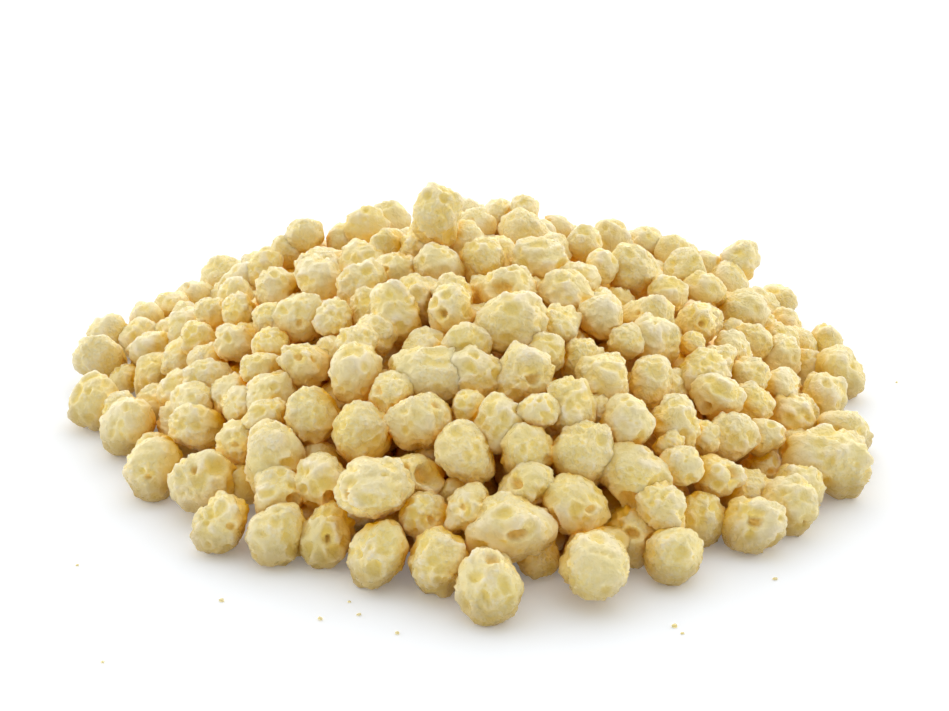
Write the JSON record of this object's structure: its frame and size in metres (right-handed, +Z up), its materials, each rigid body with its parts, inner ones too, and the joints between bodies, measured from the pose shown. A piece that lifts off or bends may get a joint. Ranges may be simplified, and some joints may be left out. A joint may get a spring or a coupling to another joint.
{
  "type": "popped quinoa heap",
  "caption": "Low heap of round, airy popped grains lying loose on a bare surface, joined as one piece with a flat base.",
  "frame": {"origin": "centre of the heap's box on the surface it lies on", "axes": "+X to the heap's right as pictured, -Y towards the viewer, +Z up"},
  "size_m": [0.0818, 0.0845, 0.0222],
  "materials": {
    "popped_quinoa": "matt, airy grain crust"
  },
  "bodies": {
    "root": {"popped_quinoa_heap": "popped_quinoa"}
  },
  "joints": []
}
